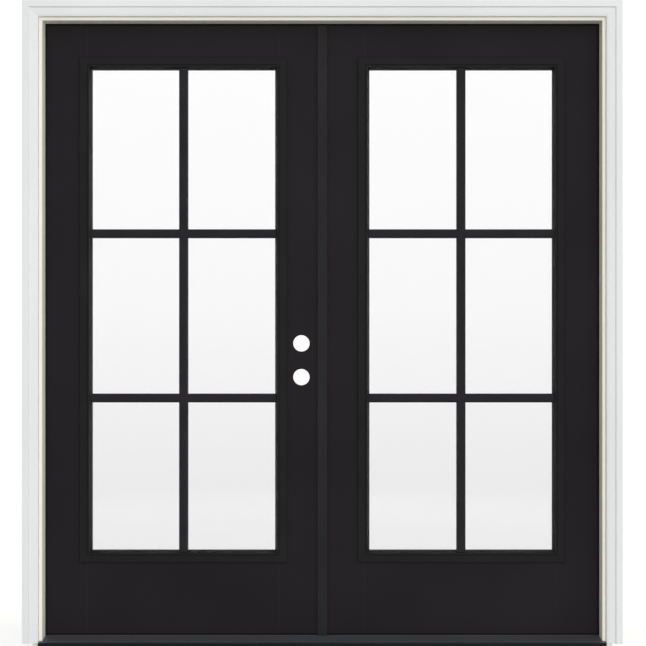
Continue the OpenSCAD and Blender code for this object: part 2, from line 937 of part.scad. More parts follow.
// Lite frame: x outward from the sight edge, y out from the skin
module lite_section() {
    polygon([
        [0, -glass_drop], [0, lite_edge - glass_drop], [lite_bevel, lite_proud],
        [quirk_in - quirk_w / 2, lite_proud], [quirk_in, lite_proud - quirk_d],
        [quirk_in + quirk_w / 2, lite_proud],
        [lite_face - lite_round, lite_proud], [lite_face - lite_round, 0],
        [leg_out, 0], [leg_out, leg_gap - slab_t / 2],
        [leg_in, leg_gap - slab_t / 2], [leg_in, -glass_drop]]);
    translate([lite_face - 2 * lite_round, 0]) square([2 * lite_round, lite_proud - lite_round]);
    translate([lite_face - lite_round, lite_proud - lite_round]) circle(lite_round);
}

// The outer lite frame, around the glass of the left leaf
module lite_ring() {
    translate([lite_x, slab_y0, lite_z]) mitred_ring(sight_w, sight_h, lite_face) lite_section();
}

// A piece of the outside of the leaf turned over to its inside
module inside_face() {
    translate([0, 2 * slab_ym, 0]) mirror([0, 1, 0]) children();
}

// Places of the lite screws around the glass, as [X, Z]
lite_screw_half = [sight_w / 2 + lite_screw_a, sight_h / 2 + lite_screw_a];
lite_side_pitch = (sight_h - 2 * lite_screw_end) / (lite_screws_side - 1);
lite_end_pitch = (sight_w - 2 * lite_screw_end) / (lite_screws_end - 1);
lite_screw_spots = concat(
    [for (s = [-1, 1], i = [0:lite_screws_side - 1])
        [s * lite_screw_half[0], lite_screw_end - sight_h / 2 + i * lite_side_pitch]],
    [for (s = [-1, 1], i = [0:lite_screws_end - 1])
        [lite_screw_end - sight_w / 2 + i * lite_end_pitch, s * lite_screw_half[1]]]);

module lite_screw_set(grow = 0) {
    for (spot = lite_screw_spots)
        translate([lite_x + spot[0], slab_y1 + lite_proud, lite_z + spot[1]]) rotate([90, 0, 0])
            screw(lite_screw_head_r, lite_screw_head_h, lite_screw_r, lite_screw_l, grow);
}

module outer_lite_frame() {
    color(frame_black) difference() {
        lite_ring();
        lite_screw_set(screw_clear);
    }
}

module inner_lite_frame() {
    color(frame_black) difference() {
        inside_face() lite_ring();
        lite_screw_set(screw_clear);
    }
}

module lite_screws() {
    color(steel_grey) lite_screw_set();
}

// A pane of the sealed unit
module pane(y0) {
    w = sight_w + 2 * glass_bite;
    h = sight_h + 2 * glass_bite;
    color(glass_clear) translate([lite_x - w / 2, y0, lite_z - h / 2]) cube([w, pane_t, h]);
}

module pane_spacer() {
    w = sight_w + 2 * glass_bite - 2 * spacer_inset;
    h = sight_h + 2 * glass_bite - 2 * spacer_inset;
    color(spacer_grey) translate([lite_x, slab_ym, lite_z]) difference() {
        cube([w, pane_space, h], center = true);
        cube([w - 2 * spacer_w, pane_space + 2 * over, h - 2 * spacer_w], center = true);
    }
}

// A glazing bar: x across the bar, y out from the glass
module bar_section() {
    polygon([
        [-bar_w / 2, 0], [-bar_w / 2, bar_h - bar_bevel], [bar_bevel - bar_w / 2, bar_h],
        [bar_w / 2 - bar_bevel, bar_h], [bar_w / 2, bar_h - bar_bevel], [bar_w / 2, 0]]);
}

module bar_run(length) {
    linear_extrude(length, center = true) mirror([0, 1]) bar_section();
}

// Bars on the outer pane, coped to the lite frame
module outer_bars() {
    color(bar_black) difference() {
        translate([lite_x, slab_y0 + glass_drop, 0]) {
            translate([0, 0, lite_z]) bar_run(sight_h + 2 * lite_bevel);
            for (z = [lower_bar_z, upper_bar_z])
                translate([0, 0, z]) rotate([0, 90, 0]) bar_run(sight_w + 2 * lite_bevel);
        }
        lite_ring();
    }
}

// Astragal on the passive leaf

// Body on the leaf's lock edge, with the seal's groove and the slot for the cover's rib
module astragal_section() {
    difference() {
        translate([astragal_x0, stop_y]) square([astragal_x1 - astragal_x0, astragal_y1 - stop_y]);
        translate([astragal_x0 - over, groove_y - groove_t / 2]) square([groove_d + over, groove_t]);
        translate([bolt_x - snap_w / 2, stop_y - over]) square([snap_w, snap_d + over]);
    }
}

// Hollow cells of the astragal: one before the bolt, the bolt's own and one behind it
module astragal_cells() {
    cell_x0 = astragal_x0 + wall_t;
    cell_x1 = astragal_x1 - wall_t;
    spans = [
        [slab_y0 + wall_t, bolt_y - bolt_cell - wall_t],
        [bolt_y - bolt_cell, bolt_y + bolt_cell],
        [bolt_y + bolt_cell + wall_t, astragal_y1 - wall_t]];
    for (span = spans)
        translate([cell_x0, span[0]]) square([cell_x1 - cell_x0, span[1] - span[0]]);
}

// Cover strip over the meeting edges, with a return to the passive leaf's face and a
// rib that snaps into the body
module cover_section() {
    half = cover_w / 2;
    rib_w = snap_w - 2 * snap_clear;
    translate([-half, cover_y0 + cover_round]) square([cover_w, cover_t - cover_round]);
    translate([cover_round - half, cover_y0]) square([cover_w - 2 * cover_round, cover_t]);
    for (s = [-1, 1]) translate([s * (half - cover_round), cover_y0 + cover_round]) circle(cover_round);
    translate([half - wall_t, cover_y0 + cover_round]) square([wall_t, slab_y0 - cover_y0 - cover_round]);
    translate([bolt_x - rib_w / 2, cover_y0 + cover_round])
        square([rib_w, cover_t - cover_round + snap_d - snap_clear]);
}

// Access holes in the active side's wall and seats for the fixing screws
module astragal_screw_set(grow = 0) {
    for (z = astragal_screw_zs)
        translate([astragal_x1 - wall_t, astragal_screw_y, z]) rotate([0, 90, 0])
            screw(screw_head_r, astragal_screw_head_h, screw_r, astragal_screw_l, grow);
}

module astragal_access() {
    for (z = astragal_screw_zs)
        translate([astragal_x0 - over, astragal_screw_y, z]) rotate([0, 90, 0])
            cylinder(r = access_r, h = wall_t + 2 * over);
}

// Slots for the thumb slides, over their whole travel
module thumb_slots() {
    half_w = thumb_w / 2 + thumb_clear;
    top_z = top_bolt_z - thumb_in;
    bottom_z = bottom_bolt_z + thumb_in;
    for (span = [[top_z, top_z + bolt_travel], [bottom_z - bolt_travel, bottom_z]])
        block([astragal_x0 - over, bolt_y - half_w, span[0] - thumb_h / 2 - thumb_clear],
            [astragal_x0 + wall_t + over / 2, bolt_y + half_w, span[1] + thumb_h / 2 + thumb_clear]);
}

// Pockets for the latch and the dead bolt
module latch_pockets() {
    for (z = bore_zs)
        block([astragal_x0 - over, slab_ym - latch_pocket_y / 2, z - latch_pocket_z / 2],
            [astragal_x0 + wall_t + over / 2, slab_ym + latch_pocket_y / 2, z + latch_pocket_z / 2]);
}

module astragal() {
    color(astragal_black) difference() {
        along_z(slab_z0, slab_z1) difference() {
            astragal_section();
            astragal_cells();
        }
        // Notch under the head stop and its weatherstrip
        block([-cover_w, cover_y0 - over, cover_z1], [cover_w, slab_y0, slab_z1 + over]);
        astragal_access();
        astragal_screw_set(screw_clear);
        thumb_slots();
        latch_pockets();
    }
}

module astragal_cover() {
    color(astragal_black) along_z(cover_z0, cover_z1) cover_section();
}

module astragal_seal() {
    half = cover_w / 2;
    color(seal_black) along_z(cover_z0, cover_z1) {
        translate([seal_t / 2 - half, stop_y]) square([half + astragal_x0 - seal_t / 2, seal_t]);
        translate([seal_t / 2 - half, stop_y + seal_t / 2]) circle(d = seal_t);
        translate([astragal_x0 - over, groove_y - groove_t / 2 + groove_clear])
            square([groove_d + over - groove_clear, groove_t - 2 * groove_clear]);
    }
}

module astragal_screws() {
    color(steel_grey) astragal_screw_set();
}

// A flush bolt with its tip at the origin: a rod, a square slide below it and a thumb piece
module flush_bolt() {
    rotate_extrude() polygon([
        [0, 0], [bolt_r - bolt_tip, 0], [bolt_r, -bolt_tip], [bolt_r, -rod_l - over], [0, -rod_l - over]]);
    block([-slide_half, -slide_half, -bolt_l], [slide_half, slide_half, -rod_l]);
    block([astragal_x0 + thumb_sink - bolt_x, -thumb_w / 2, -thumb_in - thumb_h / 2],
        [0, thumb_w / 2, -thumb_in + thumb_h / 2]);
}

module top_bolt() {
    color(steel_grey) translate([bolt_x, bolt_y, top_bolt_z]) flush_bolt();
}

module bottom_bolt() {
    color(steel_grey) translate([bolt_x, bolt_y, bottom_bolt_z]) mirror([0, 0, 1]) flush_bolt();
}

// The two leaves

module active_outer_skin() skin(slab_y0, true);
module active_inner_skin() skin(core_y1, true);
module active_hinge_stile() hinge_stile();
module active_lock_stile() lock_stile(true);
module active_lock_block() lock_block();
module active_top_rail() top_rail();
module active_bottom_rail() bottom_rail();
module active_foam_core() foam_core(true);
module active_outer_lite_frame() outer_lite_frame();
module active_inner_lite_frame() inner_lite_frame();
module active_outer_pane() pane(slab_y0 + glass_drop);
module active_inner_pane() pane(slab_y1 - glass_drop - pane_t);
module active_pane_spacer() pane_spacer();
module active_outer_bars() outer_bars();
module active_inner_bars() inside_face() outer_bars();
module active_lite_screws() lite_screws();
module active_door_bottom() door_bottom();
module active_hinge_leaves() color(steel_grey) leaf_leaf_set();
module active_hinge_screws() color(steel_grey) leaf_screw_set();

module passive_outer_skin() right_side() skin(slab_y0, false);
module passive_inner_skin() right_side() skin(core_y1, false);
module passive_hinge_stile() right_side() hinge_stile();
module passive_lock_stile() right_side() lock_stile(false);
module passive_top_rail() right_side() top_rail();
module passive_bottom_rail() right_side() bottom_rail();
module passive_foam_core() right_side() foam_core(false);
module passive_outer_lite_frame() right_side() outer_lite_frame();
module passive_inner_lite_frame() right_side() inner_lite_frame();
module passive_outer_pane() right_side() active_outer_pane();
module passive_inner_pane() right_side() active_inner_pane();
module passive_pane_spacer() right_side() pane_spacer();
module passive_outer_bars() right_side() outer_bars();
module passive_inner_bars() right_side() active_inner_bars();
module passive_lite_screws() right_side() lite_screws();
module passive_door_bottom() right_side() door_bottom();
module passive_hinge_leaves() right_side() active_hinge_leaves();
module passive_hinge_screws() right_side() active_hinge_screws();

jamb_left();
jamb_right();
jamb_head();
brickmould_left();
brickmould_right();
brickmould_head();
sill_base();
sill_deck();
threshold_cap();
threshold_screws();
weatherstrip_left();
weatherstrip_right();
weatherstrip_head();
bolt_strikes();
jamb_hinge_leaves();
hinge_pins();
jamb_hinge_screws();
active_outer_skin();
active_inner_skin();
active_hinge_stile();
active_lock_stile();
active_lock_block();
active_top_rail();
active_bottom_rail();
active_foam_core();
active_outer_lite_frame();
active_inner_lite_frame();
active_outer_pane();
active_inner_pane();
active_pane_spacer();
active_outer_bars();
active_inner_bars();
active_lite_screws();
active_door_bottom();
active_hinge_leaves();
active_hinge_screws();
passive_outer_skin();
passive_inner_skin();
passive_hinge_stile();
passive_lock_stile();
passive_top_rail();
passive_bottom_rail();
passive_foam_core();
passive_outer_lite_frame();
passive_inner_lite_frame();
passive_outer_pane();
passive_inner_pane();
passive_pane_spacer();
passive_outer_bars();
passive_inner_bars();
passive_lite_screws();
passive_door_bottom();
passive_hinge_leaves();
passive_hinge_screws();
astragal();
astragal_cover();
astragal_seal();
astragal_screws();
top_bolt();
bottom_bolt();
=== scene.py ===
# %% [markdown]
# # A double front door in its frame
# The object is an inswing pair of black composite leaves, glazed with a grid of bars, hung in a pale
# frame with a white moulding outside. Its shapes come from CAD, one mesh for each real piece, so the
# lesson is about finishes, fine lines, small fasteners and light. Lengths are in metres, as in Blender.

# %% Load the CAD pieces
import json
import math

import bmesh
import bpy
from mathutils import Matrix, Vector


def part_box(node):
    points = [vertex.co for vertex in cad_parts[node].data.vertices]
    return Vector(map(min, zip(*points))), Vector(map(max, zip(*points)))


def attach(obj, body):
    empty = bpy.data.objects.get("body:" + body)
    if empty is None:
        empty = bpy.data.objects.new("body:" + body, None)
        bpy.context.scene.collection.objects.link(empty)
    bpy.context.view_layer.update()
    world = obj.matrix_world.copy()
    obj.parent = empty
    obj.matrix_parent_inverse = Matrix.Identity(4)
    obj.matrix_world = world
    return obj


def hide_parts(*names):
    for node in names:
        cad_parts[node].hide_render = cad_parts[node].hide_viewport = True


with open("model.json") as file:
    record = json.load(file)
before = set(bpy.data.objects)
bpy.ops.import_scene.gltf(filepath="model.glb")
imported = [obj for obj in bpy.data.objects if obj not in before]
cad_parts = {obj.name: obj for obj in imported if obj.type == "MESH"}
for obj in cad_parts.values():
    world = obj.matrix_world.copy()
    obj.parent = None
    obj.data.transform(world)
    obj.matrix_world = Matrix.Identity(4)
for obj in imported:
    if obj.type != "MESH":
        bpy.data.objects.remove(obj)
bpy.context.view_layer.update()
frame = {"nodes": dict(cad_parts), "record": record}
nodes = frame["nodes"]

# %% [markdown]
# ## Helpers for finishes
# Colours are read off the object as sRGB hex values, but a renderer adds light in linear numbers, so
# one function converts them. One more function adds a shader node, with its settings and its inputs:
# an input is either a plain value or another node's output. A finished material is kept under its
# slot, the name by which the CAD record says which pieces share a finish.

# %% Colour and node helpers
MM = 0.001
finishes = {}


def linear(code):
    # the sRGB curve: a straight foot, then a power
    channels = [int(code[i:i + 2], 16) / 255 for i in (1, 3, 5)]
    bent = [c / 12.92 if c <= 0.04045 else ((c + 0.055) / 1.055) ** 2.4 for c in channels]
    return (*bent, 1.0)


def add(tree, kind, inputs=None, **settings):
    node = tree.nodes.new(kind)
    for name, value in settings.items():
        setattr(node, name, value)
    for name, value in (inputs or {}).items():
        if isinstance(value, bpy.types.NodeSocket):
            tree.links.new(value, node.inputs[name])
        else:
            node.inputs[name].default_value = value
    return node


def start_finish(name):
    material = bpy.data.materials.new(name)
    material.use_nodes = True
    tree = material.node_tree
    tree.nodes.clear()
    place = add(tree, "ShaderNodeTexCoord").outputs["Object"]
    return material, tree, place


def keep_finish(slot, material, surface):
    add(material.node_tree, "ShaderNodeOutputMaterial", {"Surface": surface.outputs["BSDF"]})
    finishes[slot] = material
    print(slot, "is", material.name, "with", len(material.node_tree.nodes), "nodes")


print("black paint in linear light:", [round(c, 4) for c in linear("#1c191c")[:3]])

# %% [markdown]
# ## Two-tone mottling
# No factory finish is one flat colour: film thickness, primer and handling shift it a little. That
# could be painted as a picture, but a soft noise between two close colours needs no file and has no
# seams. The noise's size is given in millimetres of the real thing, and its scale is one over that
# size, because object coordinates are in metres. A stretch below one draws it out along that axis.

# %% Mottled colour helper
NOISE_LOW = 0.3
NOISE_HIGH = 0.7


def mottle(tree, place, size_mm, dark, pale, stretch=(1, 1, 1), detail=3.0):
    stretched = add(tree, "ShaderNodeMapping", {"Vector": place, "Scale": stretch})
    noise = add(tree, "ShaderNodeTexNoise", {
        "Vector": stretched.outputs["Vector"], "Scale": 1 / (size_mm * MM), "Detail": detail})
    ramp = add(tree, "ShaderNodeValToRGB", {"Fac": noise.outputs["Fac"]})
    first, last = ramp.color_ramp.elements
    first.position = NOISE_LOW
    first.color = linear(dark)
    last.position = NOISE_HIGH
    last.color = linear(pale)
    return noise.outputs["Fac"], ramp.outputs["Color"]


print("mottling runs between noise values", NOISE_LOW, "and", NOISE_HIGH)

# %% [markdown]
# ## Black paint on the leaves
# The skins are moulded composite sheets, sprayed with a satin black. Spraying leaves orange peel, low
# bumps about 2 mm across. That is finer than one pixel of the picture, so the bumps here are 9 mm wide.
# The same paint on the wooden edges lets the grain show through, so it gets long streaks instead. Real
# displaced bumps would need millions of faces, so a bump node bends the light and the mesh stays flat.

# %% Satin black paint on the skins
def satin_black_paint():
    # sprayed satin enamel on moulded composite: near black, a broad soft sheen, faint orange peel
    material, tree, place = start_finish("satin_black_paint")
    cloud, colour = mottle(tree, place, size_mm=420, dark="#1c191c", pale="#211e21")
    peel = add(tree, "ShaderNodeTexNoise", {"Vector": place, "Scale": 1 / (9 * MM), "Detail": 2.0})
    sheen = add(tree, "ShaderNodeMapRange", {"Value": cloud, "To Min": 0.38, "To Max": 0.5})
    bumps = add(tree, "ShaderNodeBump", {
        "Height": peel.outputs["Fac"], "Distance": 0.25 * MM, "Strength": 0.25})
    surface = add(tree, "ShaderNodeBsdfPrincipled", {
        "Base Color": colour,
        "Roughness": sheen.outputs["Result"],
        "Normal": bumps.outputs["Normal"],
        "Specular IOR Level": 0.2})
    keep_finish("leaf_paint", material, surface)


satin_black_paint()

# %% The same paint over laminated wood edges
def black_paint_on_wood():
    # brushed paint over laminated veneer: the grain runs up the edge as dark streaks 4 mm wide
    material, tree, place = start_finish("black_paint_on_wood")
    grain, colour = mottle(
        tree, place, size_mm=4, dark="#1b191a", pale="#282627", stretch=(1, 1, 0.03), detail=5.0)
    sheen = add(tree, "ShaderNodeMapRange", {"Value": grain, "To Min": 0.45, "To Max": 0.62})
    bumps = add(tree, "ShaderNodeBump", {"Height": grain, "Distance": 0.3 * MM, "Strength": 0.35})
    surface = add(tree, "ShaderNodeBsdfPrincipled", {
        "Base Color": colour,
        "Roughness": sheen.outputs["Result"],
        "Normal": bumps.outputs["Normal"],
        "Specular IOR Level": 0.2})
    keep_finish("edge_paint", material, surface)


black_paint_on_wood()

# %% [markdown]
# ## Black plastics and powder coat
# The lite frames are moulded polypropylene with a fine matte grain from the tool, drawn 4 mm wide here
# so that it shows. The glazing bars are extruded vinyl, a touch more violet. The astragal is aluminium
# with a black powder coat, whose melted grains leave a pebbled skin about 1 mm across, drawn 5 mm wide.
# One shared black would be quicker, but side by side these blacks differ, and that is what tells the
# pieces apart in the picture.

# %% Moulded polypropylene of the lite frames
def moulded_polypropylene():
    # injection-moulded black with a spark-eroded tool grain: even, neutral and quite dull
    material, tree, place = start_finish("moulded_polypropylene")
    cloud, colour = mottle(tree, place, size_mm=160, dark="#1a1a1a", pale="#1f1f1f")
    pebble = add(tree, "ShaderNodeTexVoronoi", {"Vector": place, "Scale": 1 / (4 * MM)})
    sheen = add(tree, "ShaderNodeMapRange", {"Value": cloud, "To Min": 0.46, "To Max": 0.56})
    bumps = add(tree, "ShaderNodeBump", {
        "Height": pebble.outputs["Distance"], "Distance": 0.15 * MM, "Strength": 0.3})
    surface = add(tree, "ShaderNodeBsdfPrincipled", {
        "Base Color": colour,
        "Roughness": sheen.outputs["Result"],
        "Normal": bumps.outputs["Normal"],
        "Specular IOR Level": 0.2})
    keep_finish("lite_frame", material, surface)


moulded_polypropylene()

# %% Extruded vinyl of the glazing bars
def extruded_vinyl():
    # extruded black vinyl: a faint ripple from the die, 5 mm wide, and a slightly violet black
    material, tree, place = start_finish("extruded_vinyl")
    cloud, colour = mottle(tree, place, size_mm=90, dark="#201e21", pale="#262427")
    ripple = add(tree, "ShaderNodeTexNoise", {"Vector": place, "Scale": 1 / (5 * MM), "Detail": 1.0})
    sheen = add(tree, "ShaderNodeMapRange", {"Value": cloud, "To Min": 0.36, "To Max": 0.46})
    bumps = add(tree, "ShaderNodeBump", {
        "Height": ripple.outputs["Fac"], "Distance": 0.1 * MM, "Strength": 0.2})
    surface = add(tree, "ShaderNodeBsdfPrincipled", {
        "Base Color": colour,
        "Roughness": sheen.outputs["Result"],
        "Normal": bumps.outputs["Normal"],
        "Specular IOR Level": 0.2})
    keep_finish("glazing_bar", material, surface)


extruded_vinyl()

# %% Powder coat of the astragal
def black_powder_coat():
    # baked polyester powder on an aluminium extrusion: pebbled skin with small soft glints
    material, tree, place = start_finish("black_powder_coat")
    cloud, colour = mottle(tree, place, size_mm=220, dark="#212121", pale="#272727")
    pebble = add(tree, "ShaderNodeTexNoise", {"Vector": place, "Scale": 1 / (5 * MM), "Detail": 3.0})
    sheen = add(tree, "ShaderNodeMapRange", {"Value": cloud, "To Min": 0.4, "To Max": 0.52})
    bumps = add(tree, "ShaderNodeBump", {
        "Height": pebble.outputs["Fac"], "Distance": 0.3 * MM, "Strength": 0.3})
    surface = add(tree, "ShaderNodeBsdfPrincipled", {
        "Base Color": colour,
        "Roughness": sheen.outputs["Result"],
        "Normal": bumps.outputs["Normal"],
        "Specular IOR Level": 0.2})
    keep_finish("astragal_metal", material, surface)


black_powder_coat()

# %% [markdown]
# ## Pale frame finishes
# The jambs are composite boards with a cream factory primer, and the moulding outside is white cellular
# PVC. Marks along each board could be drawn with a stretched noise, but boards run both upright and
# across, and one noise can't follow both. So the primer gets a roller's stipple and the PVC a soft
# unevenness of its skin, which look the same in every direction.

# %% Primed composite of the jambs
def primed_jamb():
    # factory primer on a composite board: cream and dull, with a roller's stipple, drawn 6 mm wide
    material, tree, place = start_finish("primed_jamb")
    cloud, colour = mottle(tree, place, size_mm=300, dark="#ebe7da", pale="#f0ecdf")
    stipple = add(tree, "ShaderNodeTexNoise", {"Vector": place, "Scale": 1 / (6 * MM), "Detail": 4.0})
    sheen = add(tree, "ShaderNodeMapRange", {"Value": cloud, "To Min": 0.55, "To Max": 0.7})
    bumps = add(tree, "ShaderNodeBump", {
        "Height": stipple.outputs["Fac"], "Distance": 0.2 * MM, "Strength": 0.2})
    surface = add(tree, "ShaderNodeBsdfPrincipled", {
        "Base Color": colour,
        "Roughness": sheen.outputs["Result"],
        "Normal": bumps.outputs["Normal"],
        "Specular IOR Level": 0.2})
    keep_finish("jamb_composite", material, surface)


primed_jamb()

# %% White cellular PVC of the brickmould
def cellular_pvc():
    # extruded cellular PVC: cool white, a closed skin with a weak sheen, uneven every 12 mm or so
    material, tree, place = start_finish("cellular_pvc")
    cloud, colour = mottle(tree, place, size_mm=500, dark="#dee0df", pale="#e4e6e6")
    skin = add(tree, "ShaderNodeTexNoise", {"Vector": place, "Scale": 1 / (12 * MM), "Detail": 2.0})
    sheen = add(tree, "ShaderNodeMapRange", {"Value": cloud, "To Min": 0.42, "To Max": 0.52})
    bumps = add(tree, "ShaderNodeBump", {
        "Height": skin.outputs["Fac"], "Distance": 0.15 * MM, "Strength": 0.15})
    surface = add(tree, "ShaderNodeBsdfPrincipled", {
        "Base Color": colour,
        "Roughness": sheen.outputs["Result"],
        "Normal": bumps.outputs["Normal"],
        "Specular IOR Level": 0.4})
    keep_finish("brickmould_white", material, surface)


cellular_pvc()

# %% [markdown]
# ## Wood, foam and rubber
# The lock bores show the softwood block behind the skin, and the sill's wooden base shows along its
# inner edge. Grain could come from a wave texture, but a noise drawn out along the board looks less
# regular. The weatherstrip is foam in a thin vinyl skin, which looks like dull black cloth from a step
# away. The foam core is hidden in the leaf, but it is part of the model and gets its own finish too.

# %% Bare softwood
UPRIGHT_GRAIN = (1, 1, 0.04)
LENGTHWISE_GRAIN = (0.04, 1, 1)


def softwood(slot, name, dark, pale, stretch):
    # planed softwood: straw-coloured early wood with darker lines a few millimetres apart
    material, tree, place = start_finish(name)
    grain, colour = mottle(tree, place, size_mm=3, dark=dark, pale=pale, stretch=stretch, detail=6.0)
    sheen = add(tree, "ShaderNodeMapRange", {"Value": grain, "To Min": 0.6, "To Max": 0.78})
    bumps = add(tree, "ShaderNodeBump", {"Height": grain, "Distance": 0.3 * MM, "Strength": 0.4})
    surface = add(tree, "ShaderNodeBsdfPrincipled", {
        "Base Color": colour,
        "Roughness": sheen.outputs["Result"],
        "Normal": bumps.outputs["Normal"]})
    keep_finish(slot, material, surface)


softwood("lock_block_wood", "bare_softwood", "#b08c5c", "#d3b583", UPRIGHT_GRAIN)
softwood("sill_wood", "sill_substrate", "#86694a", "#a58a66", LENGTHWISE_GRAIN)

# %% Rigid foam
def rigid_foam():
    # poured polyurethane foam: a dull cream face with small cells, drawn 1.5 mm wide
    material, tree, place = start_finish("rigid_foam")
    cells = add(tree, "ShaderNodeTexVoronoi", {"Vector": place, "Scale": 1 / (1.5 * MM)})
    cloud, colour = mottle(tree, place, size_mm=60, dark="#d9cd9c", pale="#e8dfb6")
    sheen = add(tree, "ShaderNodeMapRange", {"Value": cloud, "To Min": 0.85, "To Max": 0.95})
    bumps = add(tree, "ShaderNodeBump", {
        "Height": cells.outputs["Distance"], "Distance": 0.6 * MM, "Strength": 0.5})
    surface = add(tree, "ShaderNodeBsdfPrincipled", {
        "Base Color": colour,
        "Roughness": sheen.outputs["Result"],
        "Normal": bumps.outputs["Normal"]})
    keep_finish("core_foam", material, surface)


rigid_foam()

# %% Weatherstrip
def vinyl_skinned_foam():
    # foam in a thin vinyl skin: dull black with shallow wrinkles, 8 mm wide and 13 mm long
    material, tree, place = start_finish("vinyl_skinned_foam")
    wrinkle, colour = mottle(tree, place, size_mm=8, dark="#0d0c0c", pale="#171515", stretch=(1, 1, 0.6))
    sheen = add(tree, "ShaderNodeMapRange", {"Value": wrinkle, "To Min": 0.6, "To Max": 0.8})
    bumps = add(tree, "ShaderNodeBump", {"Height": wrinkle, "Distance": 0.4 * MM, "Strength": 0.4})
    surface = add(tree, "ShaderNodeBsdfPrincipled", {
        "Base Color": colour,
        "Roughness": sheen.outputs["Result"],
        "Normal": bumps.outputs["Normal"],
        "Specular IOR Level": 0.2})
    keep_finish("seal_foam", material, surface)


vinyl_skinned_foam()

# %% [markdown]
# ## Metals
# The sill deck is anodised dark aluminium, brushed along its length. The hinges are satin nickel on
# steel, the screws are zinc plated and the pane spacer is mill aluminium. A metal's colour goes to the
# base colour. Brushing could be an anisotropic reflection, but that depends on how each mesh is
# unwrapped, so a noise stretched along the strokes drives roughness and a little relief instead. Real
# strokes are far finer than a pixel, so they are drawn 2 to 4 mm wide.

# %% Dark anodised aluminium of the sill
# a Mix node has sockets for every kind of data, and these are the places of its colours
MIX_FIRST = 6
MIX_SECOND = 7
MIX_RESULT = 2


def dark_anodised_aluminium():
    # extruded and brushed aluminium under a dark dye: blue-grey with long fine streaks, and a
    # paler top that is painted light, drawn as if lit from above
    material, tree, place = start_finish("dark_anodised_aluminium")
    brushing = {"size_mm": 4, "stretch": (0.02, 1, 1), "detail": 4.0}
    streak, nose_colour = mottle(tree, place, dark="#15181c", pale="#1d2024", **brushing)
    # painted light: upward faces get this paler colour, as if lit from above
    painted_light_colour = mottle(tree, place, dark="#5f656c", pale="#70767d", **brushing)[1]
    facing = add(tree, "ShaderNodeTexCoord").outputs["Normal"]
    upward = add(tree, "ShaderNodeSeparateXYZ", {"Vector": facing}).outputs["Z"]
    # the mask of painted light follows how far each face turns upwards
    painted_light_mask = add(tree, "ShaderNodeMapRange", {"Value": upward, "From Min": 0.8, "From Max": 0.97})
    colour = add(tree, "ShaderNodeMix", {
        "Factor": painted_light_mask.outputs["Result"], MIX_FIRST: nose_colour, MIX_SECOND: painted_light_colour},
        data_type="RGBA")
    sheen = add(tree, "ShaderNodeMapRange", {"Value": streak, "To Min": 0.42, "To Max": 0.6})
    bumps = add(tree, "ShaderNodeBump", {"Height": streak, "Distance": 0.15 * MM, "Strength": 0.3})
    surface = add(tree, "ShaderNodeBsdfPrincipled", {
        "Base Color": colour.outputs[MIX_RESULT],
        "Metallic": 0.6,
        "Roughness": sheen.outputs["Result"],
        "Normal": bumps.outputs["Normal"]})
    keep_finish("sill_aluminium", material, surface)


dark_anodised_aluminium()

# %% Brushed metals of hinges, screws and spacers
ROUGHNESS_SPREAD = 0.06


def brushed_metal(slot, name, dark, pale, stroke_mm, rough):
    # plated and brushed metal: grey, with fine strokes and a clear but blurred reflection
    material, tree, place = start_finish(name)
    stroke, colour = mottle(
        tree, place, size_mm=stroke_mm, dark=dark, pale=pale, stretch=(1, 1, 0.05), detail=4.0)
    sheen = add(tree, "ShaderNodeMapRange", {
        "Value": stroke, "To Min": rough - ROUGHNESS_SPREAD, "To Max": rough + ROUGHNESS_SPREAD})
    bumps = add(tree, "ShaderNodeBump", {"Height": stroke, "Distance": 0.05 * MM, "Strength": 0.25})
    surface = add(tree, "ShaderNodeBsdfPrincipled", {
        "Base Color": colour,
        "Metallic": 1.0,
        "Roughness": sheen.outputs["Result"],
        "Normal": bumps.outputs["Normal"]})
    keep_finish(slot, material, surface)


brushed_metal("spacer_metal", "mill_aluminium", "#9c9ea0", "#b9bbbd", stroke_mm=3, rough=0.4)
brushed_metal("hinge_steel", "satin_nickel", "#a5a29b", "#bcb9b2", stroke_mm=3, rough=0.32)
brushed_metal("screw_steel", "zinc_plate", "#a8abae", "#c3c5c7", stroke_mm=2, rough=0.3)

# %% [markdown]
# ## Glass and the threshold cap
# The panes are clear float glass. Float glass carries a very slow wave from the rollers, some 300 mm
# long, which bends reflections a little. A thin sheet with a transparent shader would be quicker, but
# real refraction through both faces of the mesh gives the depth at the edges. The lower panes are
# painted a little greyer than the upper ones, a painted shade that grows towards the sill, so the tint
# follows the height. The threshold cap is a dark extruded composite with fine lengthwise lines.

# %% Clear float glass
def float_glass():
    # clear float glass: colourless, with a slow roller wave and a painted grey shade towards the sill
    material, tree, place = start_finish("float_glass")
    wave = add(tree, "ShaderNodeTexNoise", {"Vector": place, "Scale": 1 / (300 * MM), "Detail": 0.0})
    bend = add(tree, "ShaderNodeBump", {
        "Height": wave.outputs["Fac"], "Distance": 0.4 * MM, "Strength": 0.05})
    pane_low, pane_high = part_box("active_outer_pane")
    pane_middle = (pane_low.z + pane_high.z) / 2
    height = add(tree, "ShaderNodeSeparateXYZ", {"Vector": place}).outputs["Z"]
    rise = add(tree, "ShaderNodeMapRange", {
        "Value": height, "From Min": pane_low.z, "From Max": pane_middle})
    # painted shade: the glass turns greyer from the middle of the pane down to the sill
    painted_shade_tint = add(tree, "ShaderNodeValToRGB", {"Fac": rise.outputs["Result"]})
    foot, middle = painted_shade_tint.color_ramp.elements
    foot.color = linear("#f8f8f8")
    middle.color = linear("#fefefe")
    surface = add(tree, "ShaderNodeBsdfPrincipled", {
        "Base Color": painted_shade_tint.outputs["Color"],
        "Roughness": 0.0,
        "IOR": 1.52,
        "Transmission Weight": 1.0,
        "Normal": bend.outputs["Normal"]})
    keep_finish("pane_glass", material, surface)


float_glass()

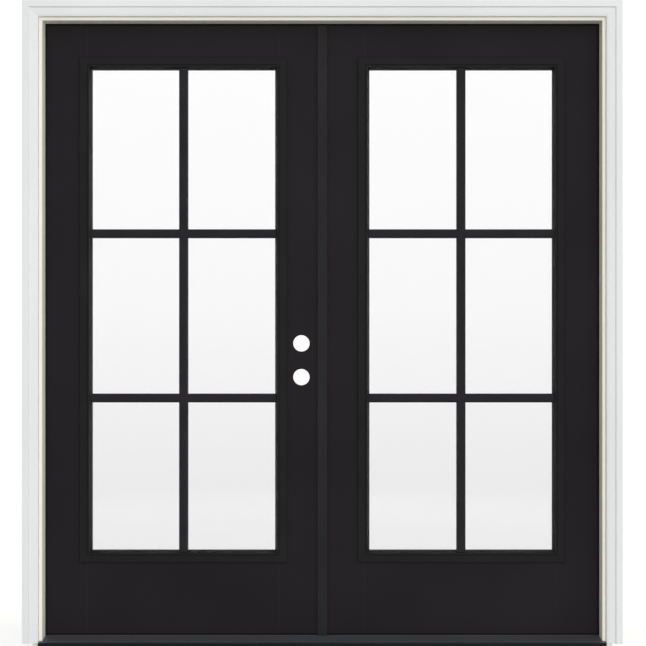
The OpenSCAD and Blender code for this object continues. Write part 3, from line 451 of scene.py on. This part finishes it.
# %% Dark composite of the threshold cap
def dark_composite():
    # extruded wood-plastic: brown black, dull, with lines along the run, drawn 5 mm wide
    material, tree, place = start_finish("dark_composite")
    line, colour = mottle(
        tree, place, size_mm=5, dark="#332f2c", pale="#423d39", stretch=(0.03, 1, 1), detail=4.0)
    sheen = add(tree, "ShaderNodeMapRange", {"Value": line, "To Min": 0.5, "To Max": 0.66})
    bumps = add(tree, "ShaderNodeBump", {"Height": line, "Distance": 0.2 * MM, "Strength": 0.3})
    surface = add(tree, "ShaderNodeBsdfPrincipled", {
        "Base Color": colour,
        "Roughness": sheen.outputs["Result"],
        "Normal": bumps.outputs["Normal"]})
    keep_finish("cap_composite", material, surface)


dark_composite()

# %% [markdown]
# ## Hand the finishes to the pieces
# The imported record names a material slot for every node, so each CAD object simply takes the finish of
# its slot. They could be assigned piece by piece, but then a new piece would be easy to forget. No CAD
# mesh changes its shape here.

# %% Assign finishes
slot_of = {part["node"]: part["material_slot"] for part in frame["record"]["subparts"]}
for name, piece in nodes.items():
    piece.data.materials.clear()
    piece.data.materials.append(finishes[slot_of[name]])
print("finishes:", len(finishes), "given to", len(slot_of), "nodes")

# %% [markdown]
# ## Leaf skins with joint lines
# A moulded skin imitates a framed door: a fine V line runs up each rail where an upright stile would
# meet it. A line in a bump map would vanish from the exported mesh, so it is cut into a copy of the CAD
# skin: ease the rim, slice the skin along each line, then push the middle slice in.

# %% Helpers for new pieces
WELD = 0.001 * MM
SHARP = math.radians(16)

body_of = {}
for body, members in frame["record"]["behaviour"]["bodies"].items():
    for member in members:
        body_of[member] = body


def welded(node):
    shape = bmesh.new()
    shape.from_mesh(nodes[node].data)
    bmesh.ops.remove_doubles(shape, verts=shape.verts, dist=WELD)
    return shape


def stand_for(node, shape, name):
    mesh = bpy.data.meshes.new(name)
    shape.to_mesh(mesh)
    shape.free()
    # a copy of a CAD mesh brings its old shading directions, which don't fit the new faces
    if "custom_normal" in mesh.attributes:
        mesh.attributes.remove(mesh.attributes["custom_normal"])
    mesh.shade_smooth()
    mesh.set_sharp_from_angle(angle=SHARP)
    mesh.materials.append(finishes[slot_of[node]])
    piece = bpy.data.objects.new(name, mesh)
    bpy.context.scene.collection.objects.link(piece)
    # large flat faces keep their own direction next to an eased edge
    even = piece.modifiers.new("even_shading", "WEIGHTED_NORMAL")
    even.keep_sharp = True
    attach(piece, body_of[node])
    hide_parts(node)
    return piece


print("nodes on bodies:", len(body_of))

# %% Cut the joint lines into the skins
# distances of the two lines from the middle of the door
JOINT_LINES = (140.9 * MM, 769.0 * MM)
JOINT_WIDTH = 6.0 * MM
JOINT_DEPTH = 1.1 * MM
EASED_EDGE = 1.2 * MM
EASE_STEPS = 8
CLOSE = 0.01 * MM


def on_rim(edge, low, high, face):
    ends = [v.co for v in edge.verts]
    if any(abs(p.y - face) > CLOSE for p in ends):
        return False
    walls = [(low.x, 0), (high.x, 0), (low.z, 2), (high.z, 2)]
    return any(all(abs(p[axis] - wall) < CLOSE for p in ends) for wall, axis in walls)


def cut_joint_line(shape, middle, face, outward):
    for x in (middle - JOINT_WIDTH / 2, middle, middle + JOINT_WIDTH / 2):
        everything = shape.verts[:] + shape.edges[:] + shape.faces[:]
        bmesh.ops.bisect_plane(shape, geom=everything, plane_co=(x, 0, 0), plane_no=(1, 0, 0))
    for point in shape.verts:
        depth = outward * (face - point.co.y)
        if abs(point.co.x - middle) < CLOSE and depth < JOINT_DEPTH:
            point.co.y = face - outward * JOINT_DEPTH


def jointed_skin(node, hand, outward):
    # hand is -1 for the left leaf and 1 for the right, outward is the Y direction that the skin faces
    low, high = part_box(node)
    face = high.y if outward > 0 else low.y
    shape = welded(node)
    rim = [edge for edge in shape.edges if on_rim(edge, low, high, face)]
    bmesh.ops.bevel(
        shape, geom=rim, offset=EASED_EDGE, segments=EASE_STEPS, profile=0.5, affect="EDGES")
    for line in JOINT_LINES:
        cut_joint_line(shape, hand * line, face, outward)
    piece = stand_for(node, shape, node + "_jointed")
    print(node, "rim edges:", len(rim), "faces:", len(piece.data.polygons))


for leaf, hand in (("active", -1), ("passive", 1)):
    jointed_skin(leaf + "_outer_skin", hand, -1)
    jointed_skin(leaf + "_inner_skin", hand, 1)

# %% [markdown]
# ## Screws with a driven cross
# The CAD screws are cones on plain shanks. Each real one has a cross sunk in its head and a thread. A
# true helix could be swept, but its ends are hard to close, so the profile below is turned as on a
# lathe, with rings for the thread, which reads the same at this scale. Every screw is measured from its
# own CAD solid, so places and sizes are never typed twice.

# %% Measure one screw
def islands(shape):
    waiting = set(shape.verts)
    while waiting:
        group = {waiting.pop()}
        edge_of_group = list(group)
        while edge_of_group:
            point = edge_of_group.pop()
            for edge in point.link_edges:
                other = edge.other_vert(point)
                if other not in group:
                    group.add(other)
                    edge_of_group.append(other)
        waiting -= group
        yield [Vector(point.co) for point in group]


def measure_screw(points):
    low = Vector([min(p[i] for p in points) for i in range(3)])
    high = Vector([max(p[i] for p in points) for i in range(3)])
    size = high - low
    axis = max(range(3), key=lambda i: size[i])
    middle = (low + high) / 2
    flat = [i for i in range(3) if i != axis]
    radii = [math.hypot(p[flat[0]] - middle[flat[0]], p[flat[1]] - middle[flat[1]]) for p in points]
    widest = points[radii.index(max(radii))]
    points_up = widest[axis] < middle[axis]
    way = Vector((0, 0, 0))
    way[axis] = 1 if points_up else -1
    top = middle - way * size[axis] / 2
    depths = [(p - top).dot(way) for p in points]
    shank_radius = max(r for r, d in zip(radii, depths) if d > size[axis] - CLOSE)
    head_depth = min(d for d in depths if d > CLOSE)
    return top, way, max(radii), head_depth, shank_radius, size[axis]


screw_nodes = [node for node in slot_of if node.endswith("_screws")]
print("screw groups:", len(screw_nodes))

# %% Outline of a screw and of its cross
THREAD_PITCH = 1.6 * MM
# places of a thread's crest and root along one pitch
CREST_AT = 0.4
ROOT_AT = 0.8
# shares of the shank's radius
ROOT_RADIUS = 0.78
TIP_LENGTH = 1.6
TIP_RADIUS = 0.25
# share of the head's radius
HEAD_EASE = 0.06


def turned_profile(head_r, head_h, shank_r, length):
    ease = HEAD_EASE * head_r
    root = ROOT_RADIUS * shank_r
    tip = TIP_LENGTH * shank_r
    profile = [(head_r - ease, 0), (head_r, ease), (shank_r, head_h), (root, head_h + THREAD_PITCH)]
    turns = int((length - tip - head_h - THREAD_PITCH) / THREAD_PITCH)
    for turn in range(turns):
        start = head_h + THREAD_PITCH * (turn + 1)
        profile.append((shank_r, start + CREST_AT * THREAD_PITCH))
        profile.append((root, start + ROOT_AT * THREAD_PITCH))
    profile.append((root, length - tip))
    profile.append((TIP_RADIUS * shank_r, length))
    return profile


def cross_outline(reach, half):
    corner = [(reach, -half), (reach, half), (half, half)]
    outline = []
    for quarter in range(4):
        turn = Matrix.Rotation(math.radians(90 * quarter), 2)
        outline += [turn @ Vector(p) for p in corner]
    return outline


print("points of a cross:", len(cross_outline(1.0, 0.2)))

# %% Turn a screw and sink its cross
SIDES = 24
# shares of the head's radius: reach and half width of the cross, at its mouth and at its foot
MOUTH_REACH = 0.62
MOUTH_HALF = 0.15
FOOT_REACH = 0.36
FOOT_HALF = 0.11
# share of the head's height
CROSS_DEPTH = 0.7


def add_screw(shape, measured, spin):
    top, way, head_r, head_h, shank_r, length = measured
    place = Matrix.Translation(top) @ way.to_track_quat("Z", "Y").to_matrix().to_4x4()
    place = place @ Matrix.Rotation(spin, 4, "Z")

    def ring(points, depth):
        return [shape.verts.new(place @ Vector((x, y, depth))) for x, y in points]

    def wall(upper, lower):
        count = len(upper)
        for i in range(count):
            shape.faces.new((upper[i], lower[i], lower[(i + 1) % count], upper[(i + 1) % count]))

    def rim(loop):
        pairs = zip(loop, loop[1:] + loop[:1])
        return [shape.edges.get(pair) or shape.edges.new(pair) for pair in pairs]

    angles = [2 * math.pi * i / SIDES for i in range(SIDES)]
    circles = [ring([(r * math.cos(a), r * math.sin(a)) for a in angles], depth)
               for r, depth in turned_profile(head_r, head_h, shank_r, length)]
    for upper, lower in zip(circles, circles[1:]):
        wall(upper, lower)
    shape.faces.new(circles[-1])
    mouth = ring(cross_outline(MOUTH_REACH * head_r, MOUTH_HALF * head_r), 0)
    foot = ring(cross_outline(FOOT_REACH * head_r, FOOT_HALF * head_r), CROSS_DEPTH * head_h)
    wall(foot, mouth)
    bmesh.ops.triangle_fill(shape, use_beauty=True, edges=rim(circles[0]) + rim(mouth))
    shape.faces.new(foot)


print("sides of a turned screw:", SIDES)

# %% Replace the screw groups
# hand-driven screws stop at any angle, and steps of the golden angle look just as unplanned
GOLDEN_TURN = math.radians(137.5)
for node in screw_nodes:
    plain = welded(node)
    measures = sorted((measure_screw(points) for points in islands(plain)), key=lambda m: tuple(m[0]))
    plain.free()
    shape = bmesh.new()
    for count, measured in enumerate(measures):
        add_screw(shape, measured, GOLDEN_TURN * count)
    bmesh.ops.recalc_face_normals(shape, faces=shape.faces)
    piece = stand_for(node, shape, node + "_driven")
    print(node, "screws:", len(measures), "faces:", len(piece.data.polygons))

# %% [markdown]
# ## Camera
# The picture is a frontal view from about six metres, at 1.06 m above the floor. The distance is read
# from how much the nearer moulding grows against the leaves behind it. A lens shift could set the
# height of the picture, but the camera stands at half the door's height, so none is needed, and the
# focal length follows from the width seen at the leaves.

# %% Place the camera
PICTURE_WIDTH = 646
PIXEL_AT_LEAVES = 3.276 * MM
VIEW_DISTANCE = 6.0
VIEW_HEIGHT = 1.0596
VIEW_ASIDE = 0.0023
SENSOR_WIDTH = 36.0

leaf_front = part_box("active_outer_skin")[0].y
camera_data = bpy.data.cameras.new("front_camera")
camera_data.sensor_width = SENSOR_WIDTH
camera_data.lens = SENSOR_WIDTH * VIEW_DISTANCE / (PICTURE_WIDTH * PIXEL_AT_LEAVES)
camera = bpy.data.objects.new("front_camera", camera_data)
camera.location = (VIEW_ASIDE, leaf_front - VIEW_DISTANCE, VIEW_HEIGHT)
camera.rotation_euler = (math.radians(90), 0, 0)
scene = bpy.context.scene
scene.collection.objects.link(camera)
scene.camera = camera
# the Standard transform shows the colours as they were read, without film toning
scene.view_settings.view_transform = "Standard"
scene.view_settings.look = "None"
print("lens:", round(camera_data.lens, 1), "mm")

# %% [markdown]
# ## Floor
# The studio has a pale painted floor. A floor with an edge would show that edge in the panes, and a
# curved backdrop would hide the surround behind the door, so the floor fades out with the distance
# instead. Black paint would pick up a grey veil from it, so diffuse and mirrored light leave it out.

# %% Pale floor
FLOOR_SOLID = 2.6
FLOOR_END = 4.4
FLOOR_FORWARD = 1.6


def fading_paint():
    # matt floor paint: light grey, faintly clouded, and gone where the floor ends
    material, tree, place = start_finish("studio_floor_paint")
    cloud, colour = mottle(tree, place, size_mm=900, dark="#c3c3c2", pale="#c8c8c7")
    sheen = add(tree, "ShaderNodeMapRange", {"Value": cloud, "To Min": 0.7, "To Max": 0.8})
    paint = add(tree, "ShaderNodeBsdfPrincipled", {
        "Base Color": colour, "Roughness": sheen.outputs["Result"]})
    gap = add(tree, "ShaderNodeBsdfTransparent")
    away = add(tree, "ShaderNodeVectorMath", {0: place}, operation="LENGTH")
    fade = add(tree, "ShaderNodeMapRange", {
        "Value": away.outputs["Value"], "From Min": FLOOR_SOLID, "From Max": FLOOR_END},
        interpolation_type="SMOOTHSTEP")
    mixed = add(tree, "ShaderNodeMixShader", {
        0: fade.outputs["Result"], 1: paint.outputs["BSDF"], 2: gap.outputs["BSDF"]})
    add(tree, "ShaderNodeOutputMaterial", {"Surface": mixed.outputs["Shader"]})
    return material


floor_mesh = bpy.data.meshes.new("studio_floor")
corners = [(x * FLOOR_END, y * FLOOR_END, 0) for x, y in ((-1, -1), (1, -1), (1, 1), (-1, 1))]
floor_mesh.from_pydata(corners, [], [(0, 1, 2, 3)])
floor_mesh.materials.append(fading_paint())
floor = bpy.data.objects.new("studio_floor", floor_mesh)
floor.location.y = -FLOOR_FORWARD
floor.visible_diffuse = False
floor.visible_glossy = False
scene.collection.objects.link(floor)
print("floor fades out from", FLOOR_SOLID, "to", FLOOR_END, "m")

# %% [markdown]
# ## Surround
# One even white dome would be simplest, but it would turn the black paint grey. So the surround is
# white behind the door and dim in front, and brighter at both sides, which lights the jambs. Each ramp
# adds its share of brightness along one axis of the direction in which one looks.

# %% Soft surround
def brighten(tree, level, value, start, end):
    # start and end are pairs: the place along the axis, and the brightness added there
    ramp = add(tree, "ShaderNodeMapRange", {
        "Value": value, "From Min": start[0], "From Max": end[0], "To Min": start[1], "To Max": end[1]})
    total = add(tree, "ShaderNodeMath", {0: level, 1: ramp.outputs["Result"]}, operation="ADD")
    return total.outputs["Value"]


def soft_surround():
    world = bpy.data.worlds.new("soft_surround")
    world.use_nodes = True
    tree = world.node_tree
    tree.nodes.clear()
    looking = add(tree, "ShaderNodeTexCoord").outputs["Generated"]
    x, y, z = add(tree, "ShaderNodeSeparateXYZ", {"Vector": looking}).outputs
    # dim in front and white behind
    level = brighten(tree, 0.0, y, (-0.3, 0.36), (0.3, 1.04))
    # more from the left, and most from the right
    level = brighten(tree, level, x, (-0.9, 0.28), (-0.2, 0.0))
    level = brighten(tree, level, x, (0.2, 0.0), (0.9, 0.65))
    # a little more from above, and less from below the floor
    level = brighten(tree, level, z, (-0.15, -0.05), (0.15, 0.07))
    level = brighten(tree, level, z, (-0.6, -0.2), (-0.15, 0.0))
    glow = add(tree, "ShaderNodeBackground", {"Color": linear("#ffffff"), "Strength": level})
    add(tree, "ShaderNodeOutputWorld", {"Surface": glow.outputs["Background"]})
    return world


scene.world = soft_surround()
print("surround nodes:", len(scene.world.node_tree.nodes))

# %% [markdown]
# ## Lights
# A large soft light in front evens out the leaves, a weak one from the upper right models the moulding,
# and one behind whitens the floor seen through the glass. Hard lamps would draw shadows across the
# leaves, and the door stands in even light, so all three are wide area lights.

# %% Soft lights
DOOR_MIDDLE = (0, 0, 1.1)


def soft_light(name, place, aim, size, power):
    data = bpy.data.lights.new(name, "AREA")
    data.shape = "SQUARE"
    data.size = size
    data.energy = power
    lamp = bpy.data.objects.new(name, data)
    lamp.location = place
    lamp.rotation_euler = (Vector(aim) - Vector(place)).to_track_quat("-Z", "Y").to_euler()
    scene.collection.objects.link(lamp)
    return lamp


soft_light("key_light", place=(5.0, -10.0, 8.0), aim=DOOR_MIDDLE, size=5.0, power=70)
front_light = soft_light("front_light", place=(0.9, -9.0, 1.6), aim=DOOR_MIDDLE, size=3.0, power=450)
# its mirror image would stand in the panes and on the paint
front_light.visible_glossy = False
front_light.visible_transmission = False
floor_light = soft_light("floor_light", place=(0, 2.6, 3.6), aim=(0, 1.9, 0), size=3.0, power=185)
# only the floor takes this light, so the jambs keep their cream seen from behind
lit_floor = bpy.data.collections.new("lit_floor")
lit_floor.objects.link(floor)
floor_light.light_linking.receiver_collection = lit_floor
